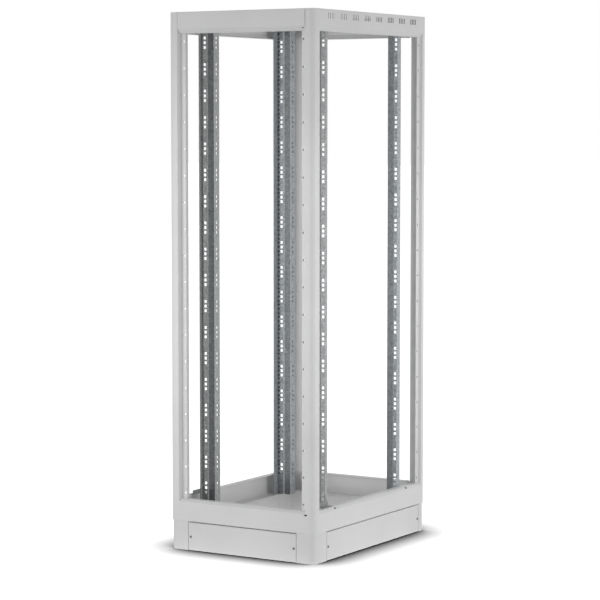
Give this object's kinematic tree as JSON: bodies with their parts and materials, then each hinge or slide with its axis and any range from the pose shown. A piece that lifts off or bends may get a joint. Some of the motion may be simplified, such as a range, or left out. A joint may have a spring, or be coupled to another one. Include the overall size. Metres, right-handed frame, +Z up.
{
  "type": "open frame rack",
  "caption": "Tall open frame rack of bent sheet steel: four posts, top and bottom beams, perforated 19 inch mounting rails inside, on a low closed plinth.",
  "frame": {"origin": "centre of the footprint, on the floor", "axes": "+Z up, front towards -Y, +X to the right of someone facing the front"},
  "size_m": [0.57, 0.755, 1.8],
  "materials": {
    "frame_paint": "satin light grey powder coat",
    "plinth_paint": "satin light grey powder coat",
    "rail_zinc": "dull galvanised"
  },
  "bodies": {
    "root": {"post_front_left": "frame_paint", "post_front_right": "frame_paint", "post_rear_left": "frame_paint", "post_rear_right": "frame_paint", "top_plate_front_left": "frame_paint", "top_plate_front_right": "frame_paint", "top_plate_rear_left": "frame_paint", "top_plate_rear_right": "frame_paint", "base_plate_front_left": "frame_paint", "base_plate_front_right": "frame_paint", "base_plate_rear_left": "frame_paint", "base_plate_rear_right": "frame_paint", "top_beam_front": "frame_paint", "top_beam_rear": "frame_paint", "top_beam_left": "frame_paint", "top_beam_right": "frame_paint", "bottom_beam_front": "frame_paint", "bottom_beam_rear": "frame_paint", "bottom_beam_left": "frame_paint", "bottom_beam_right": "frame_paint", "mounting_rail_front_left": "rail_zinc", "mounting_rail_front_right": "rail_zinc", "mounting_rail_rear_left": "rail_zinc", "mounting_rail_rear_right": "rail_zinc", "low_bracket_left": "rail_zinc", "low_bracket_right": "rail_zinc", "plinth_corner_front_left": "plinth_paint", "plinth_corner_front_right": "plinth_paint", "plinth_corner_rear_left": "plinth_paint", "plinth_corner_rear_right": "plinth_paint", "plinth_panel_front": "plinth_paint", "plinth_panel_rear": "plinth_paint", "plinth_panel_left": "plinth_paint", "plinth_panel_right": "plinth_paint"}
  },
  "joints": []
}
